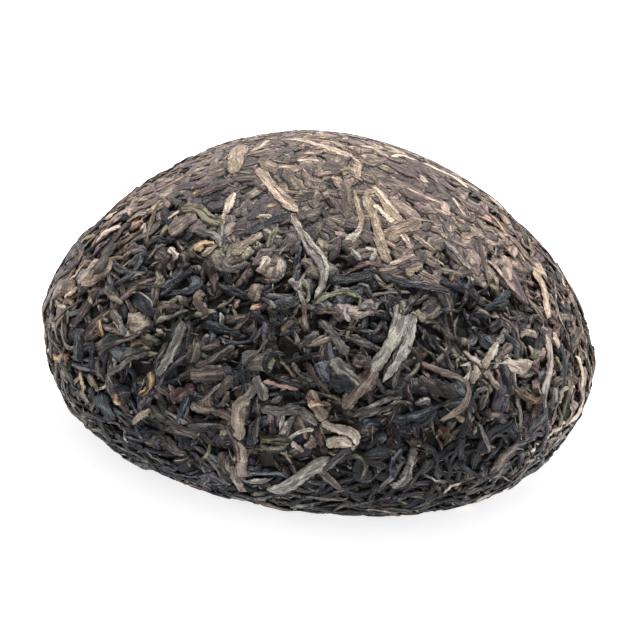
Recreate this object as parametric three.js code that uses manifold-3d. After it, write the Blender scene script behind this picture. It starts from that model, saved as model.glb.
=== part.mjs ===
// A pu-erh tuocha: twisted tea leaves, steamed and pressed into a dome with a hollow underneath.
// It stands on its flat foot ring with the dome up. Millimetres, +Z up, origin in the middle of the foot.
// One pressed lump is one solid: a rough core, with the leaves that stand out on its skin joined to it.

import * as THREE from "three";
import Module from "manifold-3d";
import { mergeVertices } from "three/addons/utils/BufferGeometryUtils.js";

// Driving dimensions of the skin, which the outermost leaves touch.
const BELLY_RADIUS = 54; // the widest ring, half of 108 mm across
const BELLY_HEIGHT = 20; // of the widest ring, above the foot
const DOME_RISE = 38; // from the widest ring up to the crown
const DOME_POWER = 1.6; // of the dome's superellipse: under 2 is a little pointed
const FOOT_POWER = 1.825; // of the curve from the widest ring in to the foot
const FOOT_OUTER = 37.8; // outer radius of the flat foot ring
const FOOT_INNER = 33.8; // its inner radius
const LIP_RADIUS = 5; // rounding from the foot ring into the mouth
const HOLLOW_TOP = 30; // height of the hollow's roof above the foot
const HOLLOW_POWER = 1.9; // of the hollow's superellipse

// Slow waves round the axis make the lump uneven: each changes the radius by its share.
const LUMPS = [
  { waves: 2, share: 0.0125, turn: 69 },
  { waves: 3, share: 0.0185, turn: -36 },
  { waves: 4, share: 0.0158, turn: 144 },
];

// The core lies under the skin by CORE_DEPTH and is rough by ROUGHNESS either way.
const CORE_DEPTH = 1.0;
const ROUGHNESS = 0.35;
const SEGMENTS = 48;
const DOME_STEPS = 12;
const FOOT_STEPS = 4;
const LIP_STEPS = 2;
const HOLLOW_STEPS = 6;

// One leaf is a drawn-out ball of LEAF_SIDES by LEAF_RINGS faces, bent over the skin.
const LEAF_SIDES = 5;
const LEAF_RINGS = 4;
const LEAF_PROUD = 0.25; // how far a leaf's back stands over the skin
const LEAF_ROOT = 2.4; // how far its underside reaches into the core, from its middle
const TIP_DIP = 0.9; // how much lower its tips lie
const SCATTERED_LEAVES = 125;
const LEAF_LENGTH = [10, 18];
const LEAF_WIDTH = [2.2, 4];
const LEAF_THICKNESS = [1.5, 2.4];
const LEAF_BEND = 60; // most that a leaf curves from end to end, in degrees
const CLEAR_OF_FOOT = 2.5; // scattered leaves keep this far from the flat ring
const CLEAR_OF_SHOWN = 5; // and this far from the middle of a leaf placed by hand
const SEED = 1938;

// The large leaves that stand out, each placed by hand: round is its middle's angle from +X in degrees,
// down is its way down the skin from the crown, heading is its angle from straight downhill in degrees,
// towards +round, and bend is how far it curves from end to end, with both ends to the right of its heading.
const SHOWN_LEAVES = [
  { round: -125, down: 21, heading: 66, length: 18, width: 3.0, bend: -8 },
  { round: -94, down: 34, heading: 22, length: 21, width: 2.6, bend: 50 },
  { round: -74, down: 25, heading: 6, length: 18, width: 2.4, bend: -20 },
  { round: -63, down: 19, heading: 18, length: 10, width: 2.2, bend: 0 },
  { round: -80, down: 19, heading: -2, length: 19, width: 2.6, bend: 10 },
  { round: -74, down: 51, heading: -34, length: 25, width: 4.8, bend: 14 },
  { round: -178, down: 22, heading: 80, length: 15, width: 5.0, bend: 0 },
  { round: -132, down: 31, heading: 39, length: 15, width: 2.2, bend: -14 },
  { round: -141, down: 32, heading: 90, length: 10, width: 3.0, bend: 30 },
  { round: 177, down: 6, heading: -30, length: 16, width: 2.8, bend: 0 },
  { round: 20, down: 22, heading: -7, length: 13, width: 2.6, bend: 22 },
  { round: -28, down: 39, heading: 0, length: 9, width: 2.6, bend: 0 },
  { round: -42, down: 33, heading: 9, length: 7, width: 2.2, bend: 0 },
  { round: -52, down: 53, heading: 40, length: 6, width: 1.8, bend: 0 },
  { round: -47, down: 53, heading: -55, length: 8, width: 2.0, bend: 0 },
  { round: -48, down: 57, heading: 31, length: 7, width: 2.0, bend: 0 },
  { round: -60, down: 55, heading: 66, length: 10, width: 2.2, bend: -8 },
  { round: -57, down: 61, heading: -42, length: 11, width: 2.2, bend: 60 },
  { round: -14, down: 47, heading: -37, length: 11, width: 3.0, bend: 30 },
  { round: -26, down: 54, heading: -46, length: 13, width: 2.8, bend: -26 },
  { round: -35, down: 62, heading: -79, length: 11, width: 2.4, bend: 60 },
  { round: -30, down: 70, heading: 90, length: 9, width: 2.2, bend: 0 },
  { round: -119, down: 54, heading: 5, length: 14, width: 2.4, bend: -12 },
  { round: -120, down: 60, heading: -3, length: 8, width: 2.0, bend: 0 },
  { round: -121, down: 65, heading: 0, length: 7, width: 2.0, bend: 50 },
  { round: -95, down: 54, heading: -67, length: 11, width: 2.2, bend: -14 },
  { round: -84, down: 57, heading: 59, length: 7, width: 3.6, bend: 0 },
  { round: -109, down: 67, heading: 90, length: 8, width: 2.2, bend: 0 },
  { round: -101, down: 73, heading: 7, length: 18, width: 3.2, bend: 8 },
  { round: -100, down: 66, heading: 15, length: 8, width: 2.4, bend: 20 },
  { round: -93, down: 64, heading: 84, length: 12, width: 2.2, bend: 18 },
  { round: -84, down: 66, heading: 82, length: 9, width: 2.4, bend: -9 },
  { round: -82, down: 69, heading: -67, length: 10, width: 2.4, bend: 60 },
  { round: -89, down: 76, heading: -39, length: 18, width: 4.0, bend: 7 },
  { round: -69, down: 74, heading: -17, length: 10, width: 3.4, bend: -30 },
];

const radians = THREE.MathUtils.degToRad;

// A repeatable stream of numbers from 0 to 1.
function seededRandom(seed) {
  let state = seed;
  return () => {
    state = (state + 0x6d2b79f5) | 0;
    let mixed = Math.imul(state ^ (state >>> 15), 1 | state);
    mixed = (mixed + Math.imul(mixed ^ (mixed >>> 7), 61 | mixed)) ^ mixed;
    return ((mixed ^ (mixed >>> 14)) >>> 0) / 4294967296;
  };
}

const random = seededRandom(SEED);
const between = ([low, high]) => low + (high - low) * random();

// A quarter of a superellipse in steps: place gets the two shares, one growing from 0 to 1, one falling.
function quarter(steps, power, place) {
  return Array.from({ length: steps + 1 }, (_, i) => {
    const angle = (i / steps) * (Math.PI / 2);
    return place(Math.sin(angle) ** (2 / power), Math.cos(angle) ** (2 / power));
  });
}

// The outline in (radius, height), from the crown over the belly, the foot and the lip to the hollow's roof.
function outline(domeSteps, footSteps, lipSteps, hollowSteps) {
  const mouth = FOOT_INNER - LIP_RADIUS;
  const dome = quarter(domeSteps, DOME_POWER, (out, up) =>
    new THREE.Vector2(BELLY_RADIUS * out, BELLY_HEIGHT + DOME_RISE * up));
  const foot = quarter(footSteps, FOOT_POWER, (down, out) =>
    new THREE.Vector2(FOOT_OUTER + (BELLY_RADIUS - FOOT_OUTER) * out, BELLY_HEIGHT * (1 - down)));
  const lip = quarter(lipSteps, 2, (along, left) =>
    new THREE.Vector2(FOOT_INNER - LIP_RADIUS * along, LIP_RADIUS * (1 - left)));
  const hollow = quarter(hollowSteps, HOLLOW_POWER, (up, out) =>
    new THREE.Vector2(mouth * out, LIP_RADIUS + (HOLLOW_TOP - LIP_RADIUS) * up));
  return [...dome, ...foot.slice(1), ...lip, ...hollow.slice(1)];
}

// A fine copy of the outline, with the way along it and the area from the crown, finds places on the skin.
const fine = outline(120, 60, 20, 80).map((point) => ({ point, along: 0, area: 0 }));
for (let i = 1; i < fine.length; i++) {
  const step = fine[i].point.distanceTo(fine[i - 1].point);
  fine[i].along = fine[i - 1].along + step;
  fine[i].area = fine[i - 1].area + Math.PI * step * (fine[i].point.x + fine[i - 1].point.x);
}
const lastFine = fine.length - 1;
const flatRing = fine.filter(({ point }) => point.y < 1e-6 && point.x <= FOOT_OUTER + 1e-6);
const flatStart = flatRing[0].along;
const flatEnd = flatRing[flatRing.length - 1].along;

// The place on the outline where a running total of it, along or area, reaches a value.
function outlineAt(total, value) {
  const end = THREE.MathUtils.clamp(fine.findIndex((entry) => entry[total] >= value), 1, lastFine);
  const [a, b] = [fine[end - 1], fine[end]];
  return a.point.clone().lerp(b.point, (value - a[total]) / (b[total] - a[total]));
}

// The skin's nearest place to a point: the point on it, and the way out of the tea there.
function onSkin(target) {
  const radius = Math.hypot(target.x, target.y);
  const flat = new THREE.Vector2(radius, target.z);
  let nearest = null;
  for (let i = 1; i <= lastFine; i++) {
    const a = fine[i - 1].point;
    const way = fine[i].point.clone().sub(a);
    const share = THREE.MathUtils.clamp(flat.clone().sub(a).dot(way) / way.lengthSq(), 0, 1);
    const foot = a.clone().addScaledVector(way, share);
    const gap = foot.distanceTo(flat);
    if (!nearest || gap < nearest.gap) nearest = { gap, foot, way: way.normalize() };
  }
  const [east, north] = [target.x / radius, target.y / radius];
  const { foot, way } = nearest;
  return {
    point: new THREE.Vector3(foot.x * east, foot.x * north, foot.y),
    normal: new THREE.Vector3(-way.y * east, -way.y * north, way.x),
  };
}

// The lumps' effect on a point: its radius grows or shrinks with the angle round the axis.
function lumpy(point) {
  const angle = Math.atan2(point.y, point.x);
  const wave = ({ waves, share, turn }) => share * Math.cos(waves * angle - radians(turn));
  const swell = LUMPS.reduce((sum, lump) => sum + wave(lump), 1);
  return point.set(point.x * swell, point.y * swell, point.z);
}

// A geometry as a solid: vertices shared, and triangles that have closed to nothing left out.
function solidOf(wasm, geometry) {
  geometry.deleteAttribute("normal");
  geometry.deleteAttribute("uv");
  const { index, attributes } = mergeVertices(geometry, 1e-3);
  const triVerts = [];
  for (let i = 0; i < index.count; i += 3) {
    const corners = [index.getX(i), index.getX(i + 1), index.getX(i + 2)];
    if (new Set(corners).size === 3) triVerts.push(...corners);
  }
  const mesh = { numProp: 3, vertProperties: attributes.position.array, triVerts: new Uint32Array(triVerts) };
  return new wasm.Manifold(new wasm.Mesh(mesh));
}

// Moves every vertex of a geometry by a rule.
function reshape(geometry, rule) {
  const { position } = geometry.attributes;
  const vertex = new THREE.Vector3();
  for (let i = 0; i < position.count; i++) {
    const moved = rule(vertex.fromBufferAttribute(position, i));
    position.setXYZ(i, moved.x, moved.y, moved.z);
  }
  return geometry;
}

// The core: the outline turned round the axis, sunk under the skin and roughened, with its foot left flat.
function coreGeometry() {
  const turned = new THREE.LatheGeometry(outline(DOME_STEPS, FOOT_STEPS, LIP_STEPS, HOLLOW_STEPS), SEGMENTS);
  turned.scale(1, -1, 1).rotateX(-Math.PI / 2);
  turned.deleteAttribute("normal");
  turned.deleteAttribute("uv");
  return reshape(mergeVertices(turned, 1e-3), (vertex) => {
    if (vertex.z < 1e-3) return lumpy(vertex);
    const { point, normal } = onSkin(vertex.x || vertex.y ? vertex : new THREE.Vector3(1e-6, 0, vertex.z));
    const rough = ROUGHNESS * (2 * random() - 1);
    return lumpy(point.addScaledVector(normal, rough - CORE_DEPTH));
  });
}

// A leaf: a ball drawn out along its length, curved sideways, laid over the skin from its middle.
function leafGeometry({ round, down, heading, length, width, thickness, bend }) {
  const { x: radius, y: height } = outlineAt("along", down);
  const angle = radians(round);
  const { point: middle, normal } = onSkin(
    new THREE.Vector3(radius * Math.cos(angle), radius * Math.sin(angle), height));
  const sideways = new THREE.Vector3(-Math.sin(angle), Math.cos(angle), 0);
  const downhill = new THREE.Vector3().crossVectors(sideways, normal);
  const forward = downhill.clone().multiplyScalar(Math.cos(radians(heading)))
    .addScaledVector(sideways, Math.sin(radians(heading)));
  const across = new THREE.Vector3().crossVectors(forward, normal);
  const ball = new THREE.SphereGeometry(1, LEAF_SIDES, LEAF_RINGS);
  return reshape(ball, (vertex) => {
    const turn = radians(bend) * (vertex.y / 2);
    const run = (vertex.y * length) / 2;
    const side = (vertex.x * width) / 2;
    const spot = middle.clone()
      .addScaledVector(forward, run * Math.cos(turn / 2) - side * Math.sin(turn))
      .addScaledVector(across, run * Math.sin(turn / 2) + side * Math.cos(turn));
    const skin = onSkin(spot);
    const rise = vertex.z * (vertex.z > 0 ? thickness / 2 : LEAF_ROOT);
    const lift = LEAF_PROUD - thickness / 2 + rise - TIP_DIP * vertex.y ** 2;
    return lumpy(skin.point.addScaledVector(skin.normal, lift));
  });
}

// Scattered leaves: equal shares of the skin's area along a golden-angle spiral, clear of the flat ring.
function scatteredLeaves() {
  const goldenAngle = 180 * (3 - Math.sqrt(5));
  const leaves = [];
  for (let i = 0; i < SCATTERED_LEAVES; i++) {
    const share = (i + 0.5) / SCATTERED_LEAVES;
    const spot = outlineAt("area", share * fine[lastFine].area);
    const down = fine.find((entry) => entry.area >= share * fine[lastFine].area).along;
    const leaf = {
      round: ((i * goldenAngle + 180) % 360) - 180,
      down,
      heading: 180 * random() - 90,
      length: Math.min(between(LEAF_LENGTH), 2.2 * spot.x + 4),
      width: between(LEAF_WIDTH),
      thickness: between(LEAF_THICKNESS),
      bend: LEAF_BEND * (2 * random() - 1),
    };
    const reach = CLEAR_OF_FOOT + (leaf.length / 2) * Math.abs(Math.cos(radians(leaf.heading)));
    const offFoot = down < flatStart - reach || down > flatEnd + reach;
    const offShown = SHOWN_LEAVES.every((shown) => {
      const sideways = radians(((shown.round - leaf.round + 540) % 360) - 180) * spot.x;
      return Math.hypot(sideways, shown.down - down) > CLEAR_OF_SHOWN;
    });
    if (offFoot && offShown) leaves.push(leaf);
  }
  return leaves;
}

// A solid's surface as a geometry.
function geometryOf(solid) {
  const { vertProperties, triVerts } = solid.getMesh();
  const geometry = new THREE.BufferGeometry();
  geometry.setAttribute("position", new THREE.BufferAttribute(vertProperties, 3));
  return geometry.setIndex(new THREE.BufferAttribute(triVerts, 1));
}

// The pressed lump: core and leaves joined, then everything under the foot plane cut away.
// Its vertices are shared anew, so that a gap closed up between leaf and core comes apart as a body of
// its own. Only the outer body is kept, which fills such gaps.
function tuochaGeometry(wasm) {
  const shown = SHOWN_LEAVES.map((leaf) => ({ thickness: LEAF_THICKNESS[1], ...leaf }));
  const leaves = [...shown, ...scatteredLeaves()].map((leaf) => solidOf(wasm, leafGeometry(leaf)));
  const lump = leaves.reduce((joined, leaf) => joined.add(leaf), solidOf(wasm, coreGeometry()));
  const below = new THREE.BoxGeometry(4 * BELLY_RADIUS, 4 * BELLY_RADIUS, 10).translate(0, 0, -5);
  const bodies = solidOf(wasm, geometryOf(lump.subtract(solidOf(wasm, below)))).decompose();
  const [outer] = bodies.sort((a, b) => b.volume() - a.volume());
  const geometry = geometryOf(outer);
  geometry.computeVertexNormals();
  return geometry;
}

const wasm = await Module();
wasm.setup();

const pressedTea = new THREE.MeshStandardMaterial({ color: 0x3d362c, roughness: 0.85, metalness: 0 });
const tuocha = new THREE.Mesh(tuochaGeometry(wasm), pressedTea);
tuocha.name = "tuocha";

const group = new THREE.Group();
group.add(tuocha);

export default group;
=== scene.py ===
import math

import bpy
import numpy as np
from mathutils import Matrix, Vector


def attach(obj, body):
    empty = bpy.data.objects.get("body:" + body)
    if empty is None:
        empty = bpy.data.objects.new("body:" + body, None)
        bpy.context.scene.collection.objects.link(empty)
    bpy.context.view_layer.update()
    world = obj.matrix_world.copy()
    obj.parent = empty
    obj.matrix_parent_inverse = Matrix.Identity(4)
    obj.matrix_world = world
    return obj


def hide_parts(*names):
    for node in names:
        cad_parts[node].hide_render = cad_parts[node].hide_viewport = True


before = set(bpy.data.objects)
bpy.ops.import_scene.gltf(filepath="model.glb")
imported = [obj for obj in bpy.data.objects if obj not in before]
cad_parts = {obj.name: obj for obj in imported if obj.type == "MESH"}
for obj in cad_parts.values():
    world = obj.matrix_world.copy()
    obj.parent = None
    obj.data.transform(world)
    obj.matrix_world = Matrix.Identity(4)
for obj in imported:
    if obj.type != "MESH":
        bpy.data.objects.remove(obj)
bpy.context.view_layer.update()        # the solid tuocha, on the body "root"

print("tuocha: working out the skin")
millimetre = 0.001
draw = np.random.default_rng(1938)

# The pressed cake's skin, in millimetres: the same outline and lumps as the solid has. The outline, the
# lumps and the camera below come from a fit to the photograph's silhouette.
skin = dict(
    bellyRadius=54.0, bellyHeight=20.0,  # the widest ring
    domeRise=38.0, domePower=1.6,        # under 2 is a little pointed
    footPower=1.825, footOuter=37.8, footInner=33.8,
    lipRadius=5.0, hollowTop=30.0, hollowPower=1.9,
    step=0.25,                           # between the points kept along the outline
)
lumps = [
    dict(waves=2, share=0.0125, turn=69),
    dict(waves=3, share=0.0185, turn=-36),
    dict(waves=4, share=0.0158, turn=144),
]


def quarterArc(power, count=160):
    # a quarter of a superellipse: sin(a)^(2/power) grows from 0 to 1 while cos(a)^(2/power) falls
    angle = np.linspace(0, math.pi / 2, count)
    return np.sin(angle) ** (2 / power), np.cos(angle) ** (2 / power)


def traceOutline(s):
    # crown, belly, foot ring, lip and hollow roof in turn, then points at equal steps along that way;
    # the normal is the way turned a quarter left, out of the tea
    domeOut, domeUp = quarterArc(s["domePower"])
    footDown, footOut = quarterArc(s["footPower"])
    lipIn, lipLeft = quarterArc(2)
    hollowUp, hollowOut = quarterArc(s["hollowPower"])
    mouth = s["footInner"] - s["lipRadius"]
    radius = np.concatenate([
        s["bellyRadius"] * domeOut,
        s["footOuter"] + (s["bellyRadius"] - s["footOuter"]) * footOut[1:],
        s["footInner"] - s["lipRadius"] * lipIn,
        mouth * hollowOut[1:],
    ])
    height = np.concatenate([
        s["bellyHeight"] + s["domeRise"] * domeUp,
        s["bellyHeight"] * (1 - footDown[1:]),
        s["lipRadius"] * (1 - lipLeft),
        s["lipRadius"] + (s["hollowTop"] - s["lipRadius"]) * hollowUp[1:],
    ])
    way = np.concatenate([[0], np.cumsum(np.hypot(np.diff(radius), np.diff(height)))])
    down = np.linspace(0, way[-1], int(way[-1] / s["step"]))
    radius = np.interp(down, way, radius)
    height = np.interp(down, way, height)
    runOut, runUp = np.gradient(radius, down), np.gradient(height, down)
    size = np.hypot(runOut, runUp)
    area = np.concatenate([[0], np.cumsum(math.pi * np.diff(down) * (radius[1:] + radius[:-1]))])
    return dict(down=down, radius=radius, height=height, area=area,
                runOut=runOut / size, runUp=runUp / size)


outline = traceOutline(skin)
footEnd = float(outline["down"][np.argmax(outline["height"] < 0.01)])  # way down to the flat ring
fullWay = float(outline["down"][-1])


def along(name, down):
    return np.interp(down, outline["down"], outline[name])


def swell(round):
    # 1 + the sum of share times cos(waves times angle - turn)
    return 1 + sum(l["share"] * np.cos(l["waves"] * round - math.radians(l["turn"])) for l in lumps)


def smooth(low, high, value):
    share = np.clip((value - low) / (high - low), 0, 1)
    return share * share * (3 - 2 * share)


def skinFrame(round, down):
    # the place on the turned outline, its way out of the tea, straight downhill, and sideways
    east = np.stack([np.cos(round), np.sin(round), np.zeros_like(round)], -1)
    side = np.stack([-np.sin(round), np.cos(round), np.zeros_like(round)], -1)
    up = np.array([0.0, 0.0, 1.0])
    runOut, runUp = along("runOut", down)[..., None], along("runUp", down)[..., None]
    place = along("radius", down)[..., None] * east + along("height", down)[..., None] * up
    return place, runOut * up - runUp * east, runOut * east + runUp * up, side


def nearestDown(points, guess, reach):
    # for each point the nearest sample of the outline within reach of the guess, then a part step along it
    step = outline["down"][1]
    window = np.arange(-int(reach / step), int(reach / step) + 1)
    index = np.clip((guess / step).astype(int)[..., None] + window, 0, len(outline["down"]) - 1)
    radius = np.hypot(points[..., 0], points[..., 1])
    gap = (outline["radius"][index] - radius[..., None]) ** 2
    gap += (outline["height"][index] - points[..., 2][..., None]) ** 2
    best = np.take_along_axis(index, np.argmin(gap, -1)[..., None], -1)[..., 0]
    beyond = (radius - outline["radius"][best]) * outline["runOut"][best]
    beyond += (points[..., 2] - outline["height"][best]) * outline["runUp"][best]
    down = np.clip(outline["down"][best] + np.clip(beyond, -step, step), 0, fullWay)
    return np.arctan2(points[..., 1], points[..., 0]), down


print("tuocha: placing the camera")
view = dict(
    elevation=24.0,                  # degrees over the floor, seen from the -Y side
    roll=9.1,                        # the tea leans to the right in the picture
    distance=486.0, aimHeight=20.0,  # millimetres
    aimRise=1.23,                    # millimetres that the picture's middle lies over the aim
    lens=139.95, sensor=36.0,
    pictureWidth=640.0,
)


def viewAxes(v):
    # right, up and back of the camera, in the row frame
    rise, roll = math.radians(v["elevation"]), math.radians(v["roll"])
    flatRight, flatUp = np.array([1.0, 0, 0]), np.array([0, math.sin(rise), math.cos(rise)])
    back = np.array([0, -math.cos(rise), math.sin(rise)])
    return (flatRight * math.cos(roll) + flatUp * math.sin(roll),
            flatUp * math.cos(roll) - flatRight * math.sin(roll), back)


def placeCamera(v):
    right, up, back = viewAxes(v)
    eye = np.array([0, 0, v["aimHeight"]]) + up * v["aimRise"] + back * v["distance"]
    data = bpy.data.cameras.new("camera")
    data.lens, data.sensor_width = v["lens"], v["sensor"]
    data.clip_start, data.clip_end = 0.01, 20
    camera = bpy.data.objects.new("camera", data)
    bpy.context.scene.collection.objects.link(camera)
    turn = Matrix(np.stack([right, up, back], 1).tolist()).to_4x4()
    camera.matrix_world = Matrix.Translation(Vector(eye * millimetre)) @ turn
    bpy.context.scene.camera = camera
    return eye


eye = placeCamera(view)


def skinSeen():
    # a fine grid of the swollen skin that faces the camera, with each point's place in the picture
    right, up, back = viewAxes(view)
    round, down = np.meshgrid(np.radians(np.linspace(-200, 20, 881)), np.linspace(0.4, footEnd, 500))
    place, normal, _, _ = skinFrame(round, down)
    place = place * np.stack([swell(round), swell(round), np.ones_like(round)], -1)
    ray = place - eye
    depth = -(ray @ back)
    scale = view["lens"] / view["sensor"] * view["pictureWidth"]
    across = view["pictureWidth"] / 2 + scale * (ray @ right) / depth
    fall = view["pictureWidth"] / 2 - scale * (ray @ up) / depth
    facing = (normal * ray).sum(-1) < 0
    return round[facing], down[facing], across[facing], fall[facing]


seen = skinSeen()


def castRoute(route, count):
    # a smooth curve through picture points (cubic blends between them), dropped on the nearest seen skin
    knots = np.array(route, float)
    way = np.concatenate([[0], np.cumsum(np.hypot(*np.diff(knots, axis=0).T))])
    at = np.linspace(0, way[-1], count)
    slope = np.gradient(knots, way, axis=0)
    index = np.clip(np.searchsorted(way, at, side="right") - 1, 0, len(way) - 2)
    span = (way[index + 1] - way[index])[:, None]
    t = ((at - way[index]) / span[:, 0])[:, None]
    pixels = (knots[index] * (1 + 2 * t) * (1 - t) ** 2 + slope[index] * span * t * (1 - t) ** 2
              + knots[index + 1] * t * t * (3 - 2 * t) - slope[index + 1] * span * t * t * (1 - t))
    middle, reach = (pixels.max(0) + pixels.min(0)) / 2, (pixels.max(0) - pixels.min(0)) / 2 + 4
    near = np.flatnonzero((abs(seen[2] - middle[0]) < reach[0]) & (abs(seen[3] - middle[1]) < reach[1]))
    gap = (seen[2][near] - pixels[:, :1]) ** 2 + (seen[3][near] - pixels[:, 1:]) ** 2
    best = near[np.argmin(gap, 1)]
    return seen[0][best], seen[1][best]


print("tuocha: laying the leaves")
# A batch of leaves is a dictionary of arrays with one row a leaf. All its leaves have the same stations
# along and the same ring of points around: the back from one edge to the other, then one underneath.


def makeRing(backPoints):
    # across, closer together near the edges; and 1 on the back, 0 at the edges, -1 underneath
    even = np.linspace(1, -1, backPoints + 2)
    across = 0.35 * np.sin(math.pi / 2 * even) + 0.65 * even
    return np.append(across, 0.0), np.concatenate([[0], np.ones(backPoints), [0, -1]])


def layCourses(leaves, stations):
    # Each middle line turns by bend, sway, hook and kinks as it runs over the skin's tangent plane, and its
    # stations then drop to the nearest place of the skin.
    t = np.linspace(-1, 1, stations)
    now = {key: value[:, None] for key, value in leaves.items()}
    turn = now["heading"] + now["bend"] * t / 2
    turn = turn + now["sway"] * np.sin(math.pi * now["waves"] * t + now["phase"])
    turn += now["hook"] * np.clip(t - 0.3, 0, 1)
    stride = now["length"] / (stations - 1)
    turn += 0.12 * np.sqrt(stride) * np.cumsum(draw.normal(size=turn.shape), 1)
    start = np.zeros((len(turn), 1))

    def running(values):
        total = np.hstack([start, np.cumsum((values[:, 1:] + values[:, :-1]) / 2 * stride, 1)])
        return (total - total.mean(1, keepdims=True))[..., None]

    place, _, downhill, side = skinFrame(leaves["round"], leaves["down"])
    points = (place[:, None] + running(np.cos(turn)) * downhill[:, None]
              + running(np.sin(turn)) * side[:, None])
    return nearestDown(points, np.repeat(leaves["down"][:, None], stations, 1), 14)


def flatSpot(round, down, outer):
    # the place on the flat maps of the pile, seen from the crown or, in the hollow, from its roof
    reach = np.where(outer, down, fullWay - down)
    return reach, np.stack([reach * np.cos(round), reach * np.sin(round)], -1)


def formLeaves(leaves, round, down, ring):
    # Sections: the half width swells from tip to tip, each edge wavering on its own, and the back is a low
    # arch with creases that slant across it as they run along. Edges turn up by the curl.
    t = np.linspace(-1, 1, round.shape[1])[None, :]
    now = {key: value[:, None] for key, value in leaves.items()}
    place, normal, downhill, side = skinFrame(round, down)
    run = np.gradient(place, axis=1)
    run /= np.linalg.norm(run, axis=-1, keepdims=True) + 1e-9
    across = np.cross(run, normal)
    across /= np.linalg.norm(across, axis=-1, keepdims=True) + 1e-9
    tip = np.where(t < 0, now["tipStart"], now["tipEnd"])
    taper = (1 - 0.985 * np.abs(t) ** tip) ** 0.8
    uneven = (1 + 0.16 * np.sin(3.1 * t * now["waves"] + 2 * now["phase"])
              + 0.08 * np.sin(7 * t + 5 * now["phase"]))
    half = now["width"] / 2 * taper * uneven
    waver = 0.14 * draw.normal(size=(2,) + round.shape) * 0.7 / np.maximum(half, 0.7)
    waver += 0.1 * np.sin(4.3 * t + 7 * now["phase"])
    thick = now["thickness"] * (0.3 + 0.7 * taper) * (1 + 0.14 * np.sin(5 * t + 3 * now["phase"]))
    x, back = ring[0][None, None, :], ring[1][None, None, :]
    slant = (now["twist"] * t * math.pi + now["phase"])[..., None]
    wave = now["folds"][..., None] * x * math.pi
    creases = (1 - 2 * (1 - np.abs(np.sin(wave / 2 + slant / 2))) ** 1.6
               + 0.4 * np.cos(2.6 * wave - 1.7 * slant))
    arch = (1 - np.abs(x) ** 3.4) ** 0.5
    rise = arch * (1 + now["ridge"][..., None] * creases) + now["curl"][..., None] * x ** 2
    rise = np.where(back > 0, rise + 0.1 * draw.normal(size=rise.shape), now["curl"][..., None] * 0.6)
    rise = np.where(back < 0, -0.55, rise)
    roll = (now["roll"] * np.sin(1.7 * t * now["waves"] + 4 * now["phase"]))[..., None]
    a = half[..., None] * (x + np.where(x > 0, waver[0][..., None], waver[1][..., None]) * np.abs(x))
    b = thick[..., None] / 2 * rise
    outer = leaves["down"] < footEnd + 4
    reach, spot = flatSpot(round, down, outer[:, None])
    stretch = np.minimum(reach / np.maximum(along("radius", down), 0.05), 4)
    radial = np.where(outer, 1.0, -1.0)[:, None] * (across * downhill).sum(-1)
    sidelong = (across * side).sum(-1) * stretch
    spread = np.stack([radial * np.cos(round) - sidelong * np.sin(round),
                       radial * np.sin(round) + sidelong * np.cos(round)], -1)
    return dict(
        leaves, ring=ring, rounds=round, downs=down, place=place, normal=normal, across=across,
        half=half, thick=thick, a=a * np.cos(roll) - b * np.sin(roll), b=b * np.cos(roll) + a * np.sin(roll),
        rise=rise, outer=outer, spot=spot, spread=spread, rest=np.zeros_like(half), lean=np.zeros_like(half),
    )


# The pile's height over the core, before pressing, on two flat maps: the outside and the hollow.
pile = dict(cell=0.4, reach=124.0)
pileCells = int(2 * pile["reach"] / pile["cell"])
pileHeight = np.zeros((2, pileCells, pileCells), np.float32)
probes = np.array([-0.85, -0.4, 0, 0.4, 0.85])
stamps = np.linspace(-0.96, 0.96, 13)


def cellsOf(spots):
    cells = ((spots + pile["reach"]) / pile["cell"]).astype(np.int32)
    return np.clip(cells, 0, pileCells - 1)


def evenOut(values, weights):
    # each value becomes the weighted sum of itself and its two neighbours
    return np.convolve(np.pad(values, 1, mode="edge"), weights, "valid")


def pileUp(batch, onTop):
    # One leaf after another is laid down. Each station rests between the mean and the top of what is
    # under it, evened out along the leaf by its stiffness; the leaf leans across with it and adds its back.
    stations = batch["half"].shape[1]
    dense = np.linspace(0, stations - 1, 3 * stations)
    low = np.minimum(dense.astype(int), stations - 2)
    part = (dense - low)[:, None]
    backs = (1 - np.abs(stamps) ** 2.6) ** 0.5
    for k in range(len(batch["half"])):
        level = pileHeight[0 if batch["outer"][k] else 1]
        spot, spread, half = batch["spot"][k], batch["spread"][k], batch["half"][k]
        cells = cellsOf(spot[:, None] + spread[:, None] * (half[:, None] * probes)[..., None])
        under = level[cells[..., 1], cells[..., 0]]
        rest = (1 - onTop) * under.mean(1) + onTop * under.max(1)
        for _ in range(2):
            rest = np.maximum(rest - 0.25, evenOut(rest, [0.27, 0.46, 0.27]))
        lean = (under[:, 3:].mean(1) - under[:, :2].mean(1)) / np.maximum(1.25 * half, 0.3)
        lean = evenOut(np.clip(lean, -0.6, 0.6), [0.25, 0.5, 0.25]) * 0.8
        batch["rest"][k] = rest + 0.3 * batch["thick"][k]
        batch["lean"][k] = lean
        halfFine, restFine, leanFine, thickFine, spotFine, spreadFine = (
            v[low] * (1 - part) + v[low + 1] * part
            for v in (half[:, None], rest[:, None], lean[:, None], batch["thick"][k][:, None], spot, spread))
        offset = halfFine * stamps
        cells = cellsOf(spotFine[:, None] + spreadFine[:, None] * offset[..., None])
        top = restFine + leanFine * offset + thickFine * (0.3 + 0.5 * backs)
        level[cells[..., 1], cells[..., 0]] = np.maximum(level[cells[..., 1], cells[..., 0]], top)


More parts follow.
